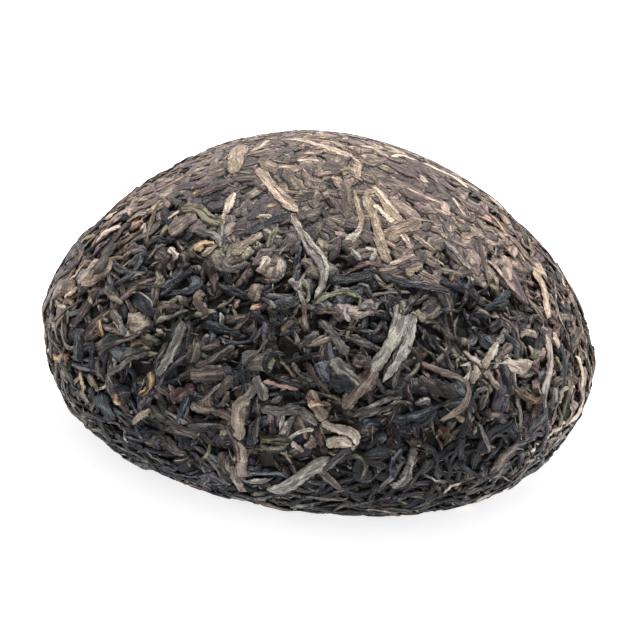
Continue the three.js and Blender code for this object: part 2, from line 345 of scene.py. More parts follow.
# How hard the press has flattened each part, in millimetres of relief.
press = dict(
    crownWay=31.0, crownFade=12.0, rimWay=80.0, rimFade=9.0,  # ways down from the crown
    frontRound=-88.0, frontHalf=58.0,                         # degrees
    relief=(0.06, 0.65, 0.4, 0.36), slope=(0.055, 0.24, 0.16, 0.15),  # crown, front, flanks, rim
    warmth=(1.15, -0.4, 1.8, -1.0),                           # redder or bluer, in the same order
    rawUnit=0.7, top=0.05,
)


def zones(round, down):
    # shares of the flattened crown, the loose dark front, the flanks and the smooth rim; borders waver
    waver = 3.0 * np.sin(3 * round + 1.1) + 2.0 * np.sin(7 * round + 0.4) + 1.2 * np.sin(13 * round)
    crownWay, crownFade, rimWay, rimFade = (press[k] for k in ("crownWay", "crownFade", "rimWay", "rimFade"))
    crown = 1 - smooth(crownWay - crownFade, crownWay + crownFade, down + waver)
    rim = smooth(rimWay - rimFade, rimWay + rimFade, down + 0.5 * waver)
    turned = np.abs((np.degrees(round) - press["frontRound"] + 180) % 360 - 180)
    front = 1 - smooth(press["frontHalf"] - 20, press["frontHalf"] + 20, turned + 2 * waver)
    middle = (1 - crown) * (1 - rim)
    return crown, middle * front, middle * (1 - front), rim


def mixZones(round, down, name):
    return sum(zone * value for zone, value in zip(zones(round, down), press[name]))


def pressed(height, round, down, level):
    # top + slope times the raw height over the usual level - relief times ln(1 + e^-x), x being that height
    # in raw units: what lies high goes nearly flat, gaps stay deep, and nothing changes its order
    over = height - level
    return (press["top"] + mixZones(round, down, "slope") * over
            - mixZones(round, down, "relief") * np.logaddexp(0, -over / press["rawUnit"]))


def toSkin(points):
    # the lumps, then a soft stop at the floor: under 0.3 mm the height closes in on 0
    grown = swell(np.arctan2(points[..., 1], points[..., 0]))
    low = 0.3
    height = points[..., 2]
    height = np.where(height > low, height, low * np.exp(np.minimum(height / low - 1, 0)))
    return np.stack([points[..., 0] * grown, points[..., 1] * grown, height], -1)


def leafPoints(batch, level):
    # place + across times a + normal times the pressed height of rest + lean + back, for every ring point
    round, down = batch["rounds"][..., None], batch["downs"][..., None]
    raw = batch["rest"][..., None] + batch["lean"][..., None] * batch["a"] + batch["b"]
    height = pressed(raw, round, down, level)
    points = (batch["place"][:, :, None] + batch["across"][:, :, None] * batch["a"][..., None]
              + batch["normal"][:, :, None] * height[..., None])
    return toSkin(points), height


def ringFaces(stations, ring):
    # quads between neighbouring rings, wound to face out, and one many-sided face at each tip
    i, j = np.meshgrid(np.arange(stations - 1), np.arange(ring), indexing="ij")
    after = (j + 1) % ring
    quads = np.stack([i * ring + j, (i + 1) * ring + j, (i + 1) * ring + after, i * ring + after], -1)
    along4 = np.stack([i, i + 1, i + 1, i], -1) / (stations - 1)
    around4 = np.stack([j, j, j + 1, j + 1], -1) / ring
    caps = np.stack([np.arange(ring), (stations - 1) * ring + np.arange(ring)[::-1]])
    angle = 2 * math.pi * np.arange(ring) / ring
    disc = np.stack([0.01 * np.cos(angle), 0.01 * np.sin(angle)], -1)
    capMap = np.stack([disc + [-0.02, 0.5], disc[::-1] + [1.02, 0.5]])
    return quads.reshape(-1, 4), np.stack([along4, around4], -1).reshape(-1, 4, 2), caps, capMap


def writeMesh(name, parts, level):
    # All leaves of a kind become one mesh. Each has its own cell of the map, and each point holds its
    # way along and around in millimetres with the leaf's number, its tone, depth and rise, and its warmth.
    corners, starts, maps, points, ways, looks, warmths = [], [], [], [], [], [], []
    count = sum(len(p["half"]) for p in parts)
    columns = int(math.ceil(math.sqrt(count)))
    rows = int(math.ceil(count / columns))
    firstPoint = firstCorner = firstLeaf = triangles = 0
    for part in parts:
        leaves, stations, ring = part["a"].shape
        place, height = leafPoints(part, level)
        quads, quadMap, caps, capMap = ringFaces(stations, ring)
        base = firstPoint + np.arange(leaves)[:, None, None] * stations * ring
        loops = [(quads[None] + base).reshape(leaves, -1), (caps[None] + base).reshape(leaves, -1)]
        corners += [np.concatenate(loops, 1).ravel()]
        sizes = np.concatenate([np.full(len(quads), 4), np.full(len(caps), ring)])
        offsets = np.concatenate([[0], np.cumsum(sizes)[:-1]])
        starts += [(firstCorner + np.arange(leaves)[:, None] * sizes.sum() + offsets).ravel()]
        cell = firstLeaf + np.arange(leaves)
        corner = np.stack([cell % columns, cell // columns], -1)[:, None]
        local = np.concatenate([quadMap.reshape(-1, 2), capMap.reshape(-1, 2)])[None]
        maps += [((corner + 0.06 + 0.88 * local) / [columns, rows]).reshape(-1, 2)]
        points += [place.reshape(-1, 3)]
        same = np.ones_like(part["a"])
        run = np.linspace(-0.5, 0.5, stations)[None, :, None] * part["length"][:, None, None] * same
        around = part["a"] + np.where(part["ring"][1] < 0, 3 * part["half"][..., None], 0)
        number = (part["tone"] * 40 + part["phase"] * 9)[:, None, None] * same
        ways += [np.stack([run, around, number], -1).reshape(-1, 3)]
        loose = 1 - 0.7 * zones(part["rounds"], part["downs"])[0][..., None]  # the crown is evened out: weaker painted shade and ridge light there
        # depth under the pressed surface, which the shade group turns into painted shade in the gaps
        depth = np.clip((-height - 0.3) / 1.6, 0, 1) * loose
        # rise for the ridge term: paler crease tops, darker edges and undersides, partly wear and partly
        # painted highlight and shade
        rise = 0.9 + (0.5 * part["rise"] - 0.4) * loose
        looks += [np.stack([part["tone"][:, None, None] * same, depth, rise], -1).reshape(-1, 3)]
        warm = mixZones(part["rounds"], part["downs"], "warmth")
        warmths += [(warm[..., None] * same).ravel()]
        firstPoint += leaves * stations * ring
        firstCorner += leaves * sizes.sum()
        firstLeaf += leaves
        triangles += leaves * (sizes - 2).sum()
    corners, starts, points = np.concatenate(corners), np.concatenate(starts), np.concatenate(points)
    mesh = bpy.data.meshes.new(name)
    mesh.vertices.add(len(points))
    mesh.loops.add(len(corners))
    mesh.polygons.add(len(starts))
    mesh.vertices.foreach_set("co", (points * millimetre).astype(np.float32).ravel())
    mesh.loops.foreach_set("vertex_index", corners.astype(np.int32))
    mesh.polygons.foreach_set("loop_start", starts.astype(np.int32))
    mesh.polygons.foreach_set("use_smooth", np.ones(len(starts), bool))
    mesh.update(calc_edges=True)
    atlas = mesh.uv_layers.new(name="OFBake")
    atlas.uv.foreach_set("vector", np.concatenate(maps).astype(np.float32).ravel())
    for label, values in (("leafWay", ways), ("leafLook", looks)):
        layer = mesh.attributes.new(label, "FLOAT_VECTOR", "POINT")
        layer.data.foreach_set("vector", np.concatenate(values).astype(np.float32).ravel())
    mesh.attributes.new("leafWarmth", "FLOAT", "POINT").data.foreach_set(
        "value", np.concatenate(warmths).astype(np.float32))
    mesh.validate()
    print("tuocha:", name, count, "leaves,", triangles, "triangles")
    return mesh


def addPiece(name, mesh, material):
    mesh.materials.append(material)
    piece = bpy.data.objects.new(name, mesh)
    bpy.context.scene.collection.objects.link(piece)
    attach(piece, "root")
    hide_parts("tuocha")
    return piece


print("tuocha: mixing the finishes")


def linear(colour):
    # an sRGB triple of 0 to 255 as linear light
    share = np.array(colour, float) / 255
    return [*np.where(share <= 0.04045, share / 12.92, ((share + 0.055) / 1.055) ** 2.4), 1.0]


def newGroup(name, inputs, outputs):
    group = bpy.data.node_groups.new(name, "ShaderNodeTree")
    for label, kind, value in inputs:
        socket = group.interface.new_socket(label, in_out="INPUT", socket_type=kind)
        if value is not None:
            socket.default_value = value
    for label, kind in outputs:
        group.interface.new_socket(label, in_out="OUTPUT", socket_type=kind)
    return group, group.nodes.new("NodeGroupInput"), group.nodes.new("NodeGroupOutput")


def combine(tree, operation, a, b):
    # a Math node; each input is a socket or a number
    node = tree.nodes.new("ShaderNodeMath")
    node.operation = operation
    for socket, value in zip(node.inputs, (a, b)):
        if isinstance(value, bpy.types.NodeSocket):
            tree.links.new(value, socket)
        else:
            socket.default_value = value
    return node.outputs[0]


def makeGrain():
    # dry leaf grain: wrinkles and finer fibres drawn out along the leaf, blotches, and pores over them
    group, given, out = newGroup(
        "leafGrain",
        [("Way", "NodeSocketVector", None),
         ("Wrinkles", "NodeSocketFloat", 1.2), ("Fibres", "NodeSocketFloat", 2.8)],
        [("Streak", "NodeSocketFloat"), ("Mottle", "NodeSocketFloat"), ("Height", "NodeSocketFloat")])
    link = group.links.new
    apart = group.nodes.new("ShaderNodeSeparateXYZ")
    link(given.outputs["Way"], apart.inputs[0])

    def drawnOut(acrossScale, alongScale, detail, low, high):
        joined = group.nodes.new("ShaderNodeCombineXYZ")
        link(combine(group, "MULTIPLY", apart.outputs[0], alongScale), joined.inputs[0])
        link(combine(group, "MULTIPLY", apart.outputs[1], acrossScale), joined.inputs[1])
        link(apart.outputs[2], joined.inputs[2])
        noise = group.nodes.new("ShaderNodeTexNoise")
        noise.inputs["Scale"].default_value = 1.0
        noise.inputs["Detail"].default_value = detail
        noise.inputs["Distortion"].default_value = 0.6
        link(joined.outputs[0], noise.inputs["Vector"])
        spread = group.nodes.new("ShaderNodeMapRange")
        spread.interpolation_type = "SMOOTHSTEP"
        spread.inputs["From Min"].default_value = low
        spread.inputs["From Max"].default_value = high
        link(noise.outputs[0], spread.inputs["Value"])
        return spread.outputs[0]

    wrinkles = drawnOut(given.outputs["Wrinkles"], alongScale=0.25, detail=1.0, low=0.4, high=0.6)
    fibres = drawnOut(given.outputs["Fibres"], alongScale=0.5, detail=2.0, low=0.38, high=0.62)
    pores = drawnOut(2.6, alongScale=2.2, detail=2.0, low=0.3, high=0.7)
    blotches = drawnOut(0.8, alongScale=0.45, detail=3.0, low=0.3, high=0.7)

    def blend(a, partA, b, partB):
        first, second = combine(group, "MULTIPLY", a, partA), combine(group, "MULTIPLY", b, partB)
        return combine(group, "ADD", first, second)

    streak = blend(wrinkles, 0.5, fibres, 0.5)
    link(streak, out.inputs["Streak"])
    link(blend(blotches, 0.65, pores, 0.35), out.inputs["Mottle"])
    link(combine(group, "ADD", streak, combine(group, "MULTIPLY", pores, 0.5)), out.inputs["Height"])
    return group


def makeTone():
    # where on its palette a leaf is: its own tone, darker in grooves and underneath, paler on ridges; that
    # darkening and paling is partly wear and partly painted shade and highlight
    group, given, out = newGroup(
        "leafTone",
        [("Look", "NodeSocketVector", None),
         ("Streak", "NodeSocketFloat", 0.5), ("Mottle", "NodeSocketFloat", 0.5),
         ("Contrast", "NodeSocketFloat", 0.5), ("Blotch", "NodeSocketFloat", 0.5)],
        [("Position", "NodeSocketFloat")])
    link = group.links.new
    apart = group.nodes.new("ShaderNodeSeparateXYZ")
    link(given.outputs["Look"], apart.inputs[0])

    def swing(value, middle, amount):
        return combine(group, "MULTIPLY", combine(group, "SUBTRACT", value, middle), amount)

    own = combine(group, "ADD", swing(apart.outputs[0], 0.5, 0.6), 0.45)
    marks = combine(group, "ADD", swing(given.outputs["Streak"], 0.5, given.outputs["Contrast"]),
                    swing(given.outputs["Mottle"], 0.5, given.outputs["Blotch"]))
    # painted highlight on crease tops and painted shade at edges and underneath, mixed with wear
    ridgeWearAndPaintedLight = swing(apart.outputs[2], 0.9, 0.5)
    link(combine(group, "ADD", combine(group, "ADD", own, marks), ridgeWearAndPaintedLight), out.inputs["Position"])
    return group


def makeShade():
    # a leaf's own tint from mauve to yellow, the warmth of its part of the cake, and painted shade where it
    # lies deep
    group, given, out = newGroup(
        "leafShade",
        [("Color", "NodeSocketColor", None), ("Look", "NodeSocketVector", None),
         ("Way", "NodeSocketVector", None), ("PaintedGapShade", "NodeSocketFloat", 0.8),
         ("Tint", "NodeSocketFloat", 0.27), ("Warmth", "NodeSocketFloat", 0)],
        [("Color", "NodeSocketColor")])
    link = group.links.new
    look, way = group.nodes.new("ShaderNodeSeparateXYZ"), group.nodes.new("ShaderNodeSeparateXYZ")
    link(given.outputs["Look"], look.inputs[0])
    link(given.outputs["Way"], way.inputs[0])
    chance, swing = group.nodes.new("ShaderNodeTexWhiteNoise"), group.nodes.new("ShaderNodeCombineXYZ")
    tinted, shaded = group.nodes.new("ShaderNodeVectorMath"), group.nodes.new("ShaderNodeVectorMath")
    chance.noise_dimensions, tinted.operation, shaded.operation = "1D", "MULTIPLY", "SCALE"
    link(way.outputs[2], chance.inputs["W"])
    own = combine(group, "SUBTRACT", chance.outputs["Value"], 0.5)
    own = combine(group, "MULTIPLY", own, given.outputs["Tint"])
    for socket, warm, yellow in zip(swing.inputs, (0.06, -0.02, -0.06), (-0.3, 0.3, -0.8)):
        change = combine(group, "ADD", combine(group, "MULTIPLY", given.outputs["Warmth"], warm),
                         combine(group, "MULTIPLY", own, yellow))
        link(combine(group, "ADD", change, 1.0), socket)
    link(given.outputs["Color"], tinted.inputs[0])
    link(swing.outputs[0], tinted.inputs[1])
    link(tinted.outputs[0], shaded.inputs[0])
    # painted shade: the deeper a point lies in the gaps, the darker its colour
    depth = combine(group, "MULTIPLY", look.outputs[1], given.outputs["PaintedGapShade"])
    link(combine(group, "SUBTRACT", 1.0, depth), shaded.inputs["Scale"])
    link(shaded.outputs[0], out.inputs["Color"])
    return group


grainGroup, toneGroup, shadeGroup = makeGrain(), makeTone(), makeShade()

# A kind's finish where it doesn't say otherwise.
usualFinish = dict(
    wrinkles=1.2, fibres=2.3,        # about how many to a millimetre across
    contrast=0.78, blotch=0.5,       # how far streaks and mottle move the colour along the palette
    paintedGapShade=0.8, tint=0.27,             # how strong the painted shade is down in the gaps, and how much leaves differ in hue
    bump=1.2, bumpDepth=0.0003,      # strength, and depth in metres
    roughness=0.55, specular=0.3,
    sheen=0.03, sheenRoughness=0.4,  # fine down, paler at a glancing look
)


def leafMaterial(name, look):
    # tone, streaks, blotches and ridges pick the colour from the kind's palette
    look = dict(usualFinish, **look)
    material = bpy.data.materials.new(name)
    material.use_nodes = True
    nodes, link = material.node_tree.nodes, material.node_tree.links.new
    shader = nodes["Principled BSDF"]
    way, marks, warmth = (nodes.new("ShaderNodeAttribute") for _ in range(3))
    way.attribute_name, marks.attribute_name, warmth.attribute_name = "leafWay", "leafLook", "leafWarmth"
    grain, tone, shade = (nodes.new("ShaderNodeGroup") for _ in range(3))
    grain.node_tree, tone.node_tree, shade.node_tree = grainGroup, toneGroup, shadeGroup
    link(way.outputs["Vector"], grain.inputs["Way"])
    grain.inputs["Wrinkles"].default_value = look["wrinkles"]
    grain.inputs["Fibres"].default_value = look["fibres"]
    link(marks.outputs["Vector"], tone.inputs["Look"])
    link(grain.outputs["Streak"], tone.inputs["Streak"])
    link(grain.outputs["Mottle"], tone.inputs["Mottle"])
    tone.inputs["Contrast"].default_value = look["contrast"]
    tone.inputs["Blotch"].default_value = look["blotch"]
    ramp = nodes.new("ShaderNodeValToRGB")
    palette = look["palette"]
    for index, colour in enumerate(palette):
        stop = ramp.color_ramp.elements[index] if index < 2 else ramp.color_ramp.elements.new(1.0)
        stop.position, stop.color = index / (len(palette) - 1), linear(colour)
    link(tone.outputs["Position"], ramp.inputs[0])
    link(ramp.outputs[0], shade.inputs["Color"])
    link(marks.outputs["Vector"], shade.inputs["Look"])
    link(way.outputs["Vector"], shade.inputs["Way"])
    link(warmth.outputs["Fac"], shade.inputs["Warmth"])
    # strength of the painted shade in the gaps
    shade.inputs["PaintedGapShade"].default_value = look["paintedGapShade"]
    shade.inputs["Tint"].default_value = look["tint"]
    link(shade.outputs["Color"], shader.inputs["Base Color"])
    bump = nodes.new("ShaderNodeBump")
    bump.inputs["Strength"].default_value = look["bump"]
    bump.inputs["Distance"].default_value = look["bumpDepth"]
    link(grain.outputs["Height"], bump.inputs["Height"])
    link(bump.outputs[0], shader.inputs["Normal"])
    shader.inputs["Roughness"].default_value = look["roughness"]
    shader.inputs["Specular IOR Level"].default_value = look["specular"]
    shader.inputs["Sheen Weight"].default_value = look["sheen"]
    shader.inputs["Sheen Roughness"].default_value = look["sheenRoughness"]
    return material


# The kinds of leaf: sizes in millimetres, bend in degrees, how they are creased and twisted, what differs
# from the usual finish, and their colours from dark to pale as sRGB of 0 to 255, grooves taking the darker
# and ridges the paler end partly by painted shade and highlight.
kinds = dict(
    blackLeaves=dict(
        length=(3.5, 12), width=(0.8, 3.0), thickness=(0.7, 1.2), ridge=(0.3, 0.7), twist=(0.6, 2.6),
        bend=80,
        palette=[(10, 9, 13), (23, 21, 27), (39, 35, 43), (60, 56, 62), (104, 99, 101)],
    ),
    inkyLeaves=dict(
        length=(3.5, 12), width=(0.8, 3.0), thickness=(0.7, 1.2), ridge=(0.3, 0.7), twist=(0.6, 2.6),
        bend=80,
        palette=[(10, 12, 15), (24, 26, 32), (39, 43, 51), (60, 65, 73), (105, 108, 112)],
    ),
    umberLeaves=dict(
        length=(3.5, 12), width=(0.8, 3.4), thickness=(0.6, 1.0), ridge=(0.3, 0.6), twist=(0.4, 2.2),
        bend=65,
        palette=[(24, 19, 18), (46, 37, 36), (69, 57, 54), (96, 82, 76), (140, 122, 111)],
    ),
    oliveLeaves=dict(
        length=(3.5, 11), width=(0.8, 2.6), thickness=(0.6, 0.9), ridge=(0.3, 0.6), twist=(0.3, 1.8),
        bend=60,
        palette=[(25, 24, 20), (47, 44, 36), (72, 67, 54), (101, 94, 77), (145, 137, 114)],
    ),
    greyLeaves=dict(
        length=(4, 12), width=(0.7, 2.0), thickness=(0.5, 0.9), ridge=(0.25, 0.5), twist=(0.3, 1.6),
        bend=60, blotch=0.35, tint=0.1, contrast=0.5,
        palette=[(52, 48, 48), (83, 78, 75), (114, 107, 102), (147, 139, 130), (194, 185, 172)],
    ),
    tanLeaves=dict(
        length=(3, 10), width=(0.7, 1.8), thickness=(0.5, 0.8), ridge=(0.1, 0.3), twist=(0, 0.8), bend=35,
        blotch=0.3, contrast=0.4, tint=0.12,
        palette=[(74, 62, 55), (112, 97, 85), (150, 133, 118), (186, 169, 152), (226, 214, 199)],
    ),
    amberLeaves=dict(
        length=(2, 6), width=(0.7, 1.6), thickness=(0.5, 0.8), ridge=(0.1, 0.3), twist=(0, 0.8), bend=35,
        blotch=0.35,
        palette=[(58, 41, 29), (98, 72, 50), (142, 111, 82), (184, 150, 118), (218, 188, 156)],
    ),
    rustLeaves=dict(
        length=(2.5, 6), width=(0.8, 1.6), thickness=(0.5, 0.8), ridge=(0.1, 0.4), twist=(0, 0.8), bend=40,
        palette=[(38, 28, 27), (64, 46, 43), (93, 69, 64), (126, 98, 88), (170, 140, 127)],
    ),
    # the two crown kinds take weaker painted shade in their gaps
    crownFlakes=dict(
        length=(4, 10), width=(2.2, 5.0), thickness=(0.4, 0.7), ridge=(0.05, 0.3), twist=(0, 0.6), bend=35,
        blotch=0.8, contrast=0.26, sheen=0.2, paintedGapShade=0.4, tint=0.3, wrinkles=0.9, bump=0.8,
        palette=[(56, 46, 47), (80, 68, 64), (107, 93, 85), (140, 125, 111), (190, 172, 153)],
    ),
    crownScraps=dict(
        length=(1.5, 5), width=(0.8, 2.4), thickness=(0.3, 0.6), ridge=(0.05, 0.3), twist=(0, 0.8), bend=40,
        blotch=0.6, contrast=0.26, sheen=0.2, paintedGapShade=0.4, tint=0.3, bump=0.8,
        palette=[(58, 49, 46), (81, 70, 64), (106, 92, 83), (138, 122, 107), (188, 169, 150)],
    ),
    crumbs=dict(
        length=(0.9, 3), width=(0.5, 1.3), thickness=(0.3, 0.7), ridge=(0.2, 0.6), twist=(0, 1), bend=50,
        palette=[(16, 15, 15), (34, 31, 31), (60, 54, 51), (96, 87, 80), (160, 146, 130)],
    ),
    fibres=dict(
        length=(3, 9), width=(0.25, 0.5), thickness=(0.25, 0.45), ridge=(0, 0.2), twist=(0, 0.5), bend=50,
        palette=[(56, 49, 44), (82, 73, 65), (112, 101, 90), (146, 133, 120), (196, 182, 166)],
    ),
)
kindNames = list(kinds)
# shares of the first nine kinds, on the crown, the front, the flanks and the rim
shares = (
    [0.02, 0.02, 0.10, 0.08, 0.08, 0.08, 0.01, 0.01, 0.60],
    [0.27, 0.22, 0.28, 0.09, 0.09, 0.03, 0.01, 0.01, 0.00],
    [0.10, 0.09, 0.40, 0.14, 0.13, 0.09, 0.01, 0.02, 0.02],
    [0.33, 0.31, 0.19, 0.06, 0.06, 0.03, 0.01, 0.01, 0.00],
)
leafCounts = dict(beneath=1100, main=3200, flakes=400, crumbs=2200, scraps=500, fibres=260)
hollowShare = 0.5  # leaves in the hollow for each one on as much of the outside

# Broad patches, paler or darker than what is around them: picture point, radius in millimetres, and the
# change of tone. They were first found where a softened render and the softened photograph differed, and
# then made fewer, moved and rounded.
patches = [
    (360, 275, 7, -0.3), (420, 285, 7, -0.3), (205, 190, 8, -0.35), (240, 200, 6, -0.3), (335, 205, 7, -0.4),
    (425, 175, 7, -0.3), (320, 490, 7, -0.45), (375, 490, 7, -0.45), (430, 480, 7, -0.4), (495, 440, 6, -0.5),
    (85, 410, 7, -0.3), (140, 440, 7, -0.3), (365, 150, 8, 0.4), (100, 235, 8, 0.4), (90, 290, 7, 0.25),
    (150, 320, 7, 0.25), (315, 310, 6, 0.6), (490, 360, 6, 0.4), (560, 435, 7, 0.9), (550, 275, 7, 0.35),
    (530, 390, 7, 0.3),
]


def patchChange(round, down):
    # the patches' changes, each fading as e to the minus half the square of distance over radius, summed
    place, change = skinFrame(round, down)[0], np.zeros(len(round))
    for x, y, radius, most in patches:
        middle = skinFrame(*castRoute([(x, y), (x + 1, y)], 2))[0][0]
        change += most * np.exp(-((place - middle) ** 2).sum(-1) / (2 * radius ** 2))
    return change


def spiralSpots(count, jitter):
    # equal shares of the skin's area along a golden-angle spiral, shaken by the jitter in millimetres
    outside = np.interp(footEnd, outline["down"], outline["area"])
    worth = np.minimum(outline["area"], outside) + hollowShare * np.maximum(outline["area"] - outside, 0)
    share = (np.arange(count) + draw.random(count)) / count
    down = np.interp(share * worth[-1], worth, outline["down"])
    golden = math.pi * (3 - math.sqrt(5))
    radius = np.maximum(along("radius", down), 1)
    round = (np.arange(count) * golden + jitter * draw.normal(size=count) / radius) % (2 * math.pi) - math.pi
    down = np.clip(down + jitter * draw.normal(size=count), 0.5, fullWay - 0.5)
    order = draw.permutation(count)
    return round[order], down[order]


def gapSpots(count):
    # of three times as many spots, those where the pile is low
    round, down = spiralSpots(3 * count, 1.0)
    outer = down < footEnd
    cells = cellsOf(flatSpot(round, down, outer)[1])
    height = pileHeight[np.where(outer, 0, 1), cells[:, 1], cells[:, 0]] + 0.7 * draw.normal(size=3 * count)
    chosen = np.sort(np.argsort(height)[:count])
    return round[chosen], down[chosen]


def crownSpots(count):
    # those of the spots on the outside where the crown's share is largest, with some chance
    round, down = spiralSpots(5 * count, 1.0)
    share = zones(round, down)[0] * (down < footEnd) + 0.1 * draw.random(5 * count)
    share += np.minimum(patchChange(round, down), 0)
    chosen = np.sort(np.argsort(-share)[:count])
    return round[chosen], down[chosen]


def chooseKinds(round, down):
    crown, front, flanks, rim = zones(round, down)
    dark = crown * np.clip(-1.5 * patchChange(round, down), 0, 1)  # the crown's dark patches are as the front
    parts = (crown - dark, front + dark, flanks, rim)
    chance = sum(part[:, None] * np.array(row) for part, row in zip(parts, shares))
    chance = np.cumsum(chance, 1) / chance.sum(1, keepdims=True)
    return (draw.random(len(round))[:, None] > chance).sum(1)


def sizeLeaves(round, down, kind):
    # each leaf's own sizes, turns and creases, within its kind's
    count = len(round)

    def within(low, high, power=1.0):
        return low + (high - low) * draw.random(count) ** power

    def pick(name, power=1.0):
        low, high = np.array([kinds[k][name] for k in kindNames]).T
        return within(low[kind], high[kind], power)

    rim = zones(round, down)[3]
    width = pick("width", 2.2)
    flat = np.clip(1.6 / width, 0.3, 1)  # broad leaves lie flatter
    heading = math.pi * draw.random(count)
    level = rim * (draw.random(count) < 0.7)
    heading = heading * (1 - level) + level * (math.pi / 2 + 0.5 * draw.normal(size=count))
    bend = np.radians(np.array([kinds[k]["bend"] for k in kindNames])[kind])
    return dict(
        round=round, down=down, kind=kind, heading=heading,
        length=pick("length", 1.3), width=width, thickness=pick("thickness"),
        bend=bend * draw.normal(size=count) * 0.7, sway=0.35 * draw.random(count),
        waves=within(0.6, 1.6), phase=within(0, 2 * math.pi),
        hook=np.where(draw.random(count) < 0.14, within(-3.2, 3.2), 0),
        tipStart=within(2.2, 14, 1.6), tipEnd=within(2, 12, 1.8),
        ridge=pick("ridge") * flat, twist=pick("twist") * flat * np.where(draw.random(count) < 0.5, -1, 1),
        folds=within(0.8, 1.8), curl=within(-0.15, 0.35), roll=0.3 * draw.random(count),
        tone=draw.random(count) + patchChange(round, down),
    )


def scatter(spots, stations, backPoints, only=None, wider=1.0):
    # one layer over the pile, of kinds that suit each spot or of one kind only
    round, down = spots
    kind = chooseKinds(round, down) if only is None else np.full(len(round), kindNames.index(only))
    leaves = sizeLeaves(round, down, kind)
    leaves["width"] = leaves["width"] * wider
    batch = formLeaves(leaves, *layCourses(leaves, stations), makeRing(backPoints))
    pileUp(batch, onTop=0.7)
    return batch
